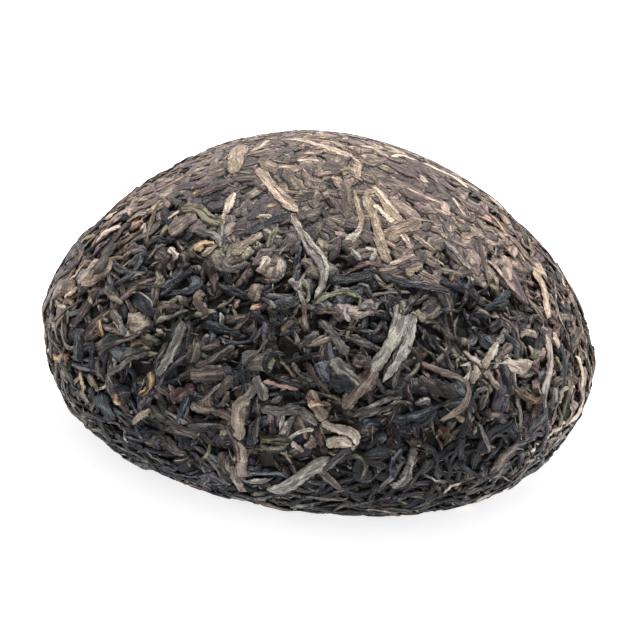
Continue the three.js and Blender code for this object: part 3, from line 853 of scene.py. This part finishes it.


# Leaves drawn over enlarged parts of the photograph, laid last: width in millimetres, tone, and the
# route over the skin as picture points. The tones were corrected from the mean colours along each
# route, in the photograph and in a render. These leaves lie on the pile as the others do.
pictured = dict(
    tanLeaves=[
        (2.0, 1.1, (96, 243), (107, 232), (120, 226)), (1.3, 0.4, (128, 222), (136, 216), (147, 214)),
        (1.0, 0.05, (145, 245), (149, 228), (154, 213), (161, 201)),
        (1.3, 0.85, (169, 248), (173, 252), (177, 257)),
        (2.8, 0.4, (386, 239), (396, 232), (408, 226), (420, 221)),
        (0.9, 0.7, (70, 280), (79, 269), (90, 260)), (1.4, 0.6, (64, 297), (70, 292), (77, 288)),
        (1.2, 0.9, (81, 242), (86, 237), (92, 234)), (0.9, 1.25, (168, 219), (174, 215), (180, 211)),
        (1.1, 0.55, (158, 191), (180, 179), (209, 166)), (1.3, 1.25, (251, 152), (261, 147), (270, 139)),
        (3.0, 0.1, (376, 364), (362, 385), (343, 409)),
        (2.2, 0.7, (258, 168), (266, 178), (274, 188), (283, 199), (292, 208), (298, 213)),
        (1.3, 0.95, (277, 167), (285, 167), (293, 168)),
        (1.5, 1.3, (234, 193), (231, 201), (228, 208), (225, 215)),
        (0.9, 0.8, (226, 211), (223, 219), (222, 227)), (1.0, 0.8, (257, 219), (262, 217), (273, 218)),
        (0.7, 1.35, (297, 161), (308, 160), (320, 161)),
        (0.7, 0.65, (303, 169), (309, 178), (316, 181), (325, 180)),
        (1.6, 1.1, (286, 136), (304, 141), (320, 146), (335, 151), (350, 157)),
        (1.2, 0.75, (297, 133), (316, 137), (334, 142), (350, 150), (362, 160)),
        (1.2, 1.1, (360, 143), (374, 149), (389, 158)), (1.0, 1.7, (391, 157), (404, 155), (418, 158)),
        (1.6, 1.5, (424, 162), (435, 169), (447, 174), (458, 181), (468, 189)),
        (1.2, 1.3, (449, 170), (465, 180), (479, 190)), (1.6, 0.95, (357, 178), (357, 170), (358, 163)),
        (1.0, 0.85, (354, 190), (358, 205), (361, 222), (358, 235), (352, 243)),
        (2.2, 0.6, (366, 195), (372, 214), (377, 231), (382, 246), (388, 264)),
        (2.2, 0.95, (373, 187), (383, 200), (392, 212), (401, 222)),
        (1.3, 1.5, (374, 205), (383, 213), (393, 223)), (1.3, 0.9, (365, 197), (368, 192), (373, 191)),
        (1.5, 1.0, (402, 234), (407, 242), (411, 249)), (1.4, 0.5, (413, 235), (423, 243), (434, 252)),
        (0.8, 0.25, (408, 218), (422, 220), (441, 223)), (0.6, 0.8, (407, 189), (425, 197), (443, 204)),
        (0.9, 0.95, (389, 266), (402, 260), (415, 255)), (1.0, 0.55, (418, 271), (426, 275), (434, 280)),
        (1.0, 0.85, (453, 198), (459, 207), (466, 217)), (0.9, 0.8, (464, 239), (471, 236), (479, 232)),
        (0.8, 0.9, (434, 209), (441, 212), (447, 215)),
        (0.9, 0.35, (304, 300), (304, 312), (306, 322), (310, 330)),
        (1.5, 0.5, (204, 257), (210, 250), (217, 243)),
        (1.8, 0.5, (233, 256), (243, 247), (254, 239), (261, 233)),
        (1.8, 0.1, (203, 290), (197, 298), (199, 306), (207, 314)),
        (1.8, 0.7, (268, 257), (264, 266), (260, 273)), (2.4, 0.2, (259, 282), (256, 290), (254, 301)),
        (1.2, -0.1, (282, 331), (288, 325), (294, 319)), (1.1, 1.3, (113, 312), (115, 318), (117, 323)),
        (0.7, 0.1, (156, 386), (162, 391), (169, 397)), (0.9, 0.35, (86, 373), (91, 382), (97, 391)),
        (1.0, 0.5, (79, 372), (80, 382), (83, 393), (89, 403)),
        (1.3, 0.4, (133, 424), (140, 416), (151, 409)), (1.6, -0.4, (215, 397), (225, 387), (234, 376)),
        (1.5, 0.0, (190, 404), (202, 409), (214, 411), (227, 415), (234, 422)),
        (1.0, 0.1, (222, 407), (226, 398), (228, 391)),
        (2.6, 0.35, (250, 401), (242, 403), (239, 414), (239, 428), (240, 440)),
        (2.4, 0.25, (239, 441), (240, 452), (243, 461), (241, 476)),
        (1.6, 0.3, (234, 464), (235, 475), (239, 485), (245, 495)),
        (1.0, -0.6, (302, 361), (309, 365), (314, 375), (330, 393)),
        (2.4, 0.25, (310, 390), (315, 402), (320, 413), (325, 422)),
        (1.0, 0.8, (291, 443), (297, 447), (304, 451)), (2.0, 0.25, (307, 447), (312, 443), (317, 438)),
        (1.8, 0.85, (321, 422), (334, 428), (347, 431), (356, 438), (357, 446)),
        (2.0, 0.9, (326, 446), (338, 441), (352, 445)),
        (1.2, 0.4, (419, 359), (433, 366), (446, 373), (460, 379),
         (468, 388), (465, 401), (457, 412), (442, 421)),
        (0.9, 0.9, (444, 495), (453, 489), (462, 484)), (0.6, 0.5, (318, 500), (332, 502), (349, 502)),
        (0.6, -0.2, (359, 504), (366, 502), (373, 499)),
        (1.1, -0.1, (479, 237), (482, 256), (486, 273), (489, 285)),
        (1.1, 0.75, (488, 260), (499, 273), (508, 283), (515, 291)),
        (0.8, 0.1, (478, 311), (490, 313), (501, 317)),
        (1.0, 0.0, (501, 312), (512, 325), (522, 340), (525, 355)),
        (1.4, 0.55, (521, 335), (529, 332), (538, 336)),
        (2.3, 1.1, (533, 271), (541, 284), (547, 298), (549, 318)),
        (1.6, 0.3, (509, 238), (522, 253), (535, 268)), (1.7, 1.35, (554, 332), (556, 340), (559, 348)),
        (1.1, 0.95, (466, 349), (475, 358), (485, 367)), (1.6, 1.05, (498, 342), (492, 354), (484, 367)),
        (1.5, 0.05, (513, 344), (504, 352), (495, 363)), (1.8, 0.15, (486, 370), (492, 379), (500, 389)),
        (1.6, 0.75, (471, 383), (474, 376), (480, 369)), (1.0, 1.2, (547, 437), (558, 431), (568, 423)),
        (1.2, 1.6, (569, 424), (577, 416), (583, 406), (585, 397)),
        (1.3, 1.35, (578, 355), (581, 365), (583, 377), (583, 388)), (1.0, 1.5, (533, 453), (542, 446)),
        (3.4, 0.65, (233, 174), (237, 160), (239, 146)),
    ],
    amberLeaves=[
        (1.8, 0.45, (195, 250), (203, 243), (214, 246)), (1.2, 0.9, (194, 195), (199, 191)),
        (1.1, 0.85, (98, 319), (98, 328), (98, 336)), (1.6, -0.2, (131, 347), (141, 342), (151, 347)),
        (1.4, 0.05, (49, 356), (58, 358), (68, 355)), (1.6, 0.15, (66, 355), (66, 366)),
        (1.6, 0.8, (116, 393), (120, 405)), (1.0, 0.85, (308, 405), (319, 403), (331, 405)),
        (1.6, -0.1, (450, 283), (455, 274)), (2.0, -0.3, (441, 427), (449, 438)),
        (1.3, -0.2, (546, 393), (536, 401), (526, 398), (515, 388)),
        (1.0, 1.0, (489, 214), (497, 222), (505, 234)),
        (1.2, 0.15, (148, 371), (151, 381), (148, 390), (138, 395)),
    ],
    greyLeaves=[
        (0.8, 0.35, (223, 224), (223, 236), (224, 250)),
        (1.7, 0.35, (194, 231), (206, 233), (217, 238), (221, 248)),
        (1.3, 0.7, (350, 248), (355, 255), (361, 261)), (1.3, 1.35, (345, 240), (353, 237), (361, 229)),
        (1.0, 0.8, (365, 249), (375, 250), (371, 262)), (0.6, -0.2, (357, 284), (367, 287), (372, 299)),
        (1.1, 0.55, (361, 308), (368, 306), (376, 309)), (0.9, 0.8, (347, 305), (345, 315), (351, 321)),
        (1.7, 1.0, (291, 215), (299, 230), (309, 246), (319, 260), (324, 272), (322, 285), (314, 298)),
        (1.0, 1.2, (303, 232), (314, 246), (324, 259), (327, 270), (326, 282)),
        (1.9, 0.25, (319, 316), (331, 332), (340, 344), (348, 354)),
        (1.4, 0.15, (303, 345), (311, 337), (319, 329)), (0.9, 0.1, (345, 326), (358, 329), (374, 331)),
        (2.3, 0.3, (331, 360), (343, 371), (360, 385)),
        (3.0, 0.9, (402, 303), (399, 328), (388, 350), (370, 372)),
        (1.7, 1.15, (414, 310), (411, 335), (400, 358), (384, 381)),
        (2.9, 0.75, (266, 494), (281, 489), (297, 480), (313, 469), (331, 457)),
        (1.2, 0.3, (222, 262), (229, 269), (238, 268), (249, 262)),
        (0.9, 0.3, (261, 298), (269, 302), (276, 309)), (0.8, 0.2, (270, 280), (278, 279), (284, 272)),
        (1.0, 0.75, (288, 279), (294, 284), (297, 291)), (1.0, 0.3, (247, 330), (254, 324)),
        (1.3, 0.55, (112, 312), (119, 322), (124, 335)),
        (1.2, 0.3, (108, 376), (121, 366), (134, 356), (147, 353)),
        (2.0, 0.65, (182, 320), (178, 338), (170, 354), (157, 377)),
        (0.9, 0.4, (154, 322), (165, 316), (176, 312), (187, 308)),
        (0.8, 0.15, (48, 322), (60, 315), (72, 305), (81, 297)),
        (0.9, -0.1, (68, 372), (73, 389), (77, 404)), (1.2, 0.2, (94, 360), (97, 371), (98, 383)),
        (0.8, 0.2, (134, 426), (138, 433), (143, 438)),
        (0.6, 0.6, (105, 424), (114, 425), (121, 434), (128, 443)),
        (0.8, 0.3, (145, 452), (152, 459), (163, 461)),
        (1.6, 0.0, (195, 367), (212, 361), (222, 352), (234, 345)),
        (0.7, -0.1, (235, 375), (245, 364), (255, 354), (269, 338)),
        (1.0, -0.2, (188, 426), (205, 425), (222, 426), (235, 432)),
        (1.2, -0.15, (256, 402), (257, 414), (256, 427), (254, 440)),
        (1.9, 0.55, (254, 377), (261, 388), (264, 401)),
        (1.4, 0.45, (261, 409), (275, 412), (290, 411), (303, 413), (312, 420), (317, 426)),
        (0.8, 0.25, (264, 406), (280, 409), (297, 407), (309, 413), (318, 424)),
        (0.7, 0.6, (287, 421), (286, 430)), (0.8, 1.1, (282, 446), (292, 437), (303, 431), (314, 429)),
        (1.1, 0.75, (243, 481), (256, 482), (272, 482)),
        (1.4, -0.25, (323, 470), (334, 461), (343, 452), (351, 446)),
        (1.2, 0.25, (353, 417), (367, 409), (380, 403), (394, 397)),
        (1.1, -0.05, (361, 416), (378, 411), (394, 406)), (1.2, 0.55, (417, 403), (425, 401), (432, 400)),
        (1.7, 0.35, (413, 447), (412, 459), (408, 470), (401, 480)),
        (2.2, 0.5, (409, 473), (402, 482), (391, 488)), (0.8, 0.55, (425, 480), (437, 482), (449, 483)),
        (1.6, 0.8, (444, 242), (454, 252), (463, 262), (472, 270)),
        (0.6, 1.2, (431, 290), (440, 291), (450, 295)), (0.7, 0.5, (528, 298), (536, 308), (543, 318)),
        (2.0, 1.05, (546, 334), (549, 350), (550, 367), (546, 382), (541, 394)),
        (1.2, 0.2, (548, 411), (555, 401), (556, 390)),
        (0.8, 0.2, (473, 399), (480, 390), (489, 389), (486, 399), (482, 412)),
        (0.9, 0.65, (551, 442), (562, 436), (571, 429)), (0.8, 0.7, (479, 423), (484, 437), (489, 452)),
        (0.8, 0.8, (529, 241), (545, 256), (560, 272), (569, 289)),
        (0.7, 0.65, (556, 279), (557, 300), (558, 319)), (0.6, 0.65, (562, 324), (571, 340)),
        (1.6, 1.2, (421, 177), (426, 183)),
    ],
    oliveLeaves=[
        (3.6, 0.15, (98, 274), (104, 258), (113, 242)), (0.9, 1.8, (89, 280), (93, 275), (96, 271)),
        (1.1, 1.2, (105, 286), (112, 296), (121, 303)), (1.0, 0.65, (135, 287), (148, 286)),
        (0.8, 0.1, (152, 287), (166, 287)), (1.3, 1.4, (122, 256), (130, 251)),
        (2.2, 0.8, (183, 208), (198, 210), (210, 219), (222, 225)), (1.0, 0.55, (235, 173), (255, 174)),
        (1.1, 1.1, (268, 248), (272, 237), (279, 229)), (1.6, 1.7, (406, 275), (413, 270), (422, 264)),
        (1.0, 1.15, (313, 304), (326, 297), (343, 293), (363, 299)),
        (1.0, 0.9, (303, 279), (308, 291), (307, 303)), (2.0, 0.9, (415, 311), (426, 320)),
        (0.8, 0.65, (183, 318), (192, 314), (203, 315)), (1.3, -0.3, (272, 342), (272, 326), (275, 311)),
        (1.0, -0.3, (283, 326), (283, 313), (291, 304), (298, 295)),
        (1.1, 0.4, (117, 361), (132, 354), (149, 348)), (1.8, 0.35, (259, 437), (275, 440), (291, 441)),
        (1.6, 0.15, (260, 446), (275, 449), (288, 447)),
        (1.0, 0.1, (350, 454), (360, 457), (366, 467), (362, 479)),
        (1.0, 0.6, (406, 347), (416, 351), (421, 360), (404, 381)),
        (0.9, 0.0, (411, 486), (419, 473), (428, 460)), (1.2, 1.2, (558, 356), (562, 370)),
        (1.3, 1.2, (403, 300), (401, 314)), (2.4, 1.5, (341, 172), (352, 171)),
        (3.6, 0.75, (296, 195), (314, 196)),
    ],
    rustLeaves=[
        (1.9, 0.7, (130, 227), (143, 221)), (0.9, 0.1, (312, 309), (326, 312), (341, 315)),
        (1.0, 0.9, (236, 297), (235, 306)), (1.0, 0.2, (153, 310), (168, 307), (180, 305)),
        (2.4, 0.45, (168, 399), (181, 393), (194, 386)),
        (1.0, 0.75, (263, 382), (275, 384), (287, 386), (299, 389)),
        (1.3, 0.1, (315, 430), (321, 443), (326, 454)), (1.2, 0.3, (253, 279), (262, 279), (272, 282)),
        (1.0, 0.55, (342, 276), (352, 269), (368, 264), (385, 267)),
    ],
    inkyLeaves=[
        (1.4, 0.5, (146, 243), (160, 238), (175, 239)),
        (1.6, 0.75, (245, 234), (262, 227), (277, 220), (290, 213)),
        (1.6, -0.2, (201, 321), (217, 327), (240, 334)), (2.4, 0.25, (78, 330), (78, 345), (80, 361)),
        (3.8, 0.5, (99, 394), (105, 408), (111, 422)), (2.2, 0.6, (319, 361), (327, 382)),
        (2.8, 0.25, (331, 380), (353, 389)), (1.5, 0.35, (393, 421), (412, 417), (430, 410), (447, 402)),
        (1.2, 0.75, (403, 450), (396, 456), (393, 466), (394, 479)),
        (1.0, 0.0, (421, 445), (434, 450), (437, 462), (436, 478)),
        (1.4, 0.4, (479, 300), (490, 306), (500, 299), (512, 291)),
        (1.1, 0.1, (484, 309), (499, 304), (513, 301)), (2.4, 0.25, (396, 502), (405, 493)),
        (3.0, 0.15, (238, 380), (248, 370)),
    ],
    blackLeaves=[
        (2.2, 0.35, (202, 203), (212, 199), (222, 196)),
        (1.4, 0.55, (379, 272), (396, 281), (418, 285), (452, 292)),
        (1.1, 0.3, (288, 352), (269, 355), (264, 364), (270, 374), (287, 382), (305, 388)),
        (1.2, 0.95, (403, 316), (413, 302), (420, 291)), (1.4, 0.6, (501, 364), (507, 378), (511, 396)),
        (3.2, 0.4, (527, 432), (537, 423), (547, 414)), (1.6, 0.0, (459, 438), (463, 462)),
    ],
    umberLeaves=[
        (2.2, 0.3, (201, 196), (213, 190), (229, 184)),
        (0.9, 0.85, (345, 146), (358, 156), (370, 171), (379, 188)),
        (1.6, 0.0, (207, 262), (213, 275), (215, 289)),
        (1.0, 0.5, (99, 352), (117, 343), (137, 333), (151, 324)),
        (1.2, -0.25, (321, 354), (303, 357), (285, 361)), (1.2, 0.5, (292, 362), (299, 372), (312, 381)),
        (1.0, 0.6, (228, 427), (236, 445), (238, 461)),
        (2.6, -0.2, (418, 378), (431, 385), (446, 391), (457, 397)),
        (1.1, 0.35, (484, 412), (498, 415), (513, 417)), (1.0, 0.9, (506, 311), (515, 319), (523, 329)),
        (2.6, 0.35, (352, 360), (372, 363)), (3.2, 0.6, (190, 377), (206, 375), (225, 373)),
    ],
    crownFlakes=[
        (3.8, 0.45, (168, 232), (181, 225), (196, 215)), (2.2, 0.45, (213, 170), (219, 151)),
        (2.2, 0.2, (133, 212), (151, 204)), (2.2, 0.45, (259, 159), (268, 165), (276, 172)),
        (3.2, 0.3, (322, 166), (340, 170)), (2.0, 0.25, (345, 184), (347, 203), (346, 220)),
    ],
)


def layPictured(rows):
    # Each route is dropped on the skin, and its steps are evened out.
    steps = 26
    flat = [(kindNames.index(name), *row) for name, group in rows.items() for row in group]
    courses = np.array([castRoute(row[3:], steps) for row in flat])
    for _ in range(3):
        courses[..., 1:-1] = (courses[..., :-2] + 2 * courses[..., 1:-1] + courses[..., 2:]) / 4
    round, down = courses[:, 0], courses[:, 1]
    kind, width, tone = (np.array([row[k] for row in flat]) for k in range(3))
    leaves = sizeLeaves(round[:, steps // 2], down[:, steps // 2], kind)
    run = np.linalg.norm(np.diff(skinFrame(round, down)[0], axis=1), axis=-1).sum(1)
    leaves.update(width=width, tone=tone, length=run, thickness=np.clip(0.6 * width, 0.5, 1.0),
                  tipStart=leaves["tipStart"] + 3, tipEnd=leaves["tipEnd"] + 3)
    batch = formLeaves(leaves, round, down, makeRing(backPoints=9))
    pileUp(batch, onTop=1.0)
    return batch


batches = [
    scatter(spiralSpots(leafCounts["beneath"], jitter=1.2), stations=7, backPoints=3, wider=1.7),
    scatter(spiralSpots(leafCounts["main"], jitter=0.9), stations=11, backPoints=5),
    scatter(gapSpots(leafCounts["crumbs"]), stations=5, backPoints=2, only="crumbs"),
    scatter(crownSpots(leafCounts["flakes"]), stations=10, backPoints=3, only="crownFlakes"),
    scatter(crownSpots(leafCounts["scraps"]), stations=6, backPoints=2, only="crownScraps"),
    scatter(spiralSpots(leafCounts["fibres"], jitter=3.0), stations=10, backPoints=1, only="fibres"),
    layPictured(pictured),
]
usual = float(np.median(pileHeight[0][pileHeight[0] > 0]))
print("tuocha: the pile is usually", round(usual, 2), "mm thick before pressing")


def ofKind(batch, index):
    chosen = batch["kind"] == index
    return {key: value if key == "ring" else value[chosen] for key, value in batch.items()}


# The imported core: how many points round and down it has, and its roughness and depth in millimetres.
core = dict(rounds=220, ways=140, waves=0.25, grit=0.2, deepest=-2.6)


def coreMesh(s):
    # the skin's outline turned round, sunk as deep as a bare spot of the pile, and roughened
    rounds, ways = s["rounds"], s["ways"]
    round, down = np.meshgrid(np.linspace(-math.pi, math.pi, rounds, endpoint=False),
                              np.linspace(0, fullWay, ways), indexing="ij")
    rough = s["waves"] * np.sin(23 * round + 0.9 * down) * np.sin(1.3 * down)
    rough = rough + s["grit"] * draw.normal(size=round.shape)
    height = pressed(rough, round, down, usual)
    place, normal, _, _ = skinFrame(round, down)
    points = toSkin(place + normal * np.maximum(height, s["deepest"])[..., None])
    points[:, 0] = points[:, 0].mean(0)
    points[:, -1] = points[:, -1].mean(0)
    i, j = np.meshgrid(np.arange(rounds), np.arange(ways - 1), indexing="ij")
    after = (i + 1) % rounds
    quads = np.stack([i * ways + j, i * ways + j + 1, after * ways + j + 1, after * ways + j], -1)
    quads = quads.reshape(-1, 4)
    mesh = bpy.data.meshes.new("pressedCore")
    mesh.from_pydata((points.reshape(-1, 3) * millimetre).tolist(), [], quads.tolist())
    mesh.polygons.foreach_set("use_smooth", np.ones(len(quads), bool))
    layer = mesh.attributes.new("crownShare", "FLOAT", "POINT")
    layer.data.foreach_set("value", zones(round, down)[0].ravel())
    return mesh


def coreMaterial():
    # dark dust with paler grains, and paler all over where the crown is
    material = bpy.data.materials.new("packedDust")
    material.use_nodes = True
    nodes, link = material.node_tree.nodes, material.node_tree.links.new
    place, noise = nodes.new("ShaderNodeTexCoord"), nodes.new("ShaderNodeTexNoise")
    ramp, share = nodes.new("ShaderNodeValToRGB"), nodes.new("ShaderNodeAttribute")
    share.attribute_name = "crownShare"
    noise.inputs["Scale"].default_value = 1200
    noise.inputs["Detail"].default_value = 3
    link(place.outputs["Object"], noise.inputs["Vector"])
    ramp.color_ramp.elements[0].position, ramp.color_ramp.elements[0].color = 0.35, linear((10, 9, 9))
    ramp.color_ramp.elements[1].position, ramp.color_ramp.elements[1].color = 0.75, linear((44, 37, 32))
    ramp.color_ramp.elements.new(1.0).color = linear((118, 104, 94))
    paler = combine(material.node_tree, "MULTIPLY", share.outputs["Fac"], 0.42)
    link(combine(material.node_tree, "ADD", noise.outputs[0], paler), ramp.inputs[0])
    link(ramp.outputs[0], nodes["Principled BSDF"].inputs["Base Color"])
    nodes["Principled BSDF"].inputs["Roughness"].default_value = 0.9
    return material


addPiece("pressedCore", coreMesh(core), coreMaterial())
for index, (kindName, look) in enumerate(kinds.items()):
    parts = [ofKind(batch, index) for batch in batches]
    parts = [part for part in parts if len(part["half"])]
    addPiece(kindName, writeMesh(kindName, parts, usual), leafMaterial(kindName, look))


print("tuocha: floor and light")
studio = dict(
    floorSize=8.0, floorColour=(244, 244, 246), floorGlow=0.75, sky=0.58,
    lampPower=10.0, lampSize=0.5, lampPlace=(0.06, 0.36, 0.71), lampAim=(0, 0, 0.02),  # watts, metres
)


def buildStudio(s):
    size = s["floorSize"] / 2
    mesh = bpy.data.meshes.new("floor")
    corners = [(-size, -size, 0), (size, -size, 0), (size, size, 0), (-size, size, 0)]
    mesh.from_pydata(corners, [], [(0, 1, 2, 3)])
    floor = bpy.data.objects.new("floor", mesh)
    bpy.context.scene.collection.objects.link(floor)
    material = bpy.data.materials.new("paleFloor")
    material.use_nodes = True
    shader = material.node_tree.nodes["Principled BSDF"]
    shader.inputs["Base Color"].default_value = linear(s["floorColour"])
    shader.inputs["Roughness"].default_value = 0.8
    shader.inputs["Emission Color"].default_value = (1, 1, 1, 1)  # a light table: it lifts the shadow
    shader.inputs["Emission Strength"].default_value = s["floorGlow"]
    mesh.materials.append(material)
    world = bpy.data.worlds.new("paleRoom")
    world.use_nodes = True
    sky = world.node_tree.nodes["Background"]
    sky.inputs["Color"].default_value = (1, 1, 1, 1)
    sky.inputs["Strength"].default_value = s["sky"]
    bpy.context.scene.world = world
    data = bpy.data.lights.new("softLamp", "AREA")
    data.shape, data.size, data.energy = "DISK", s["lampSize"], s["lampPower"]
    lamp = bpy.data.objects.new("softLamp", data)
    bpy.context.scene.collection.objects.link(lamp)
    lamp.location = s["lampPlace"]
    lamp.rotation_euler = (Vector(s["lampAim"]) - lamp.location).to_track_quat("-Z", "Y").to_euler()


buildStudio(studio)
bpy.context.scene.view_settings.view_transform = "Standard"
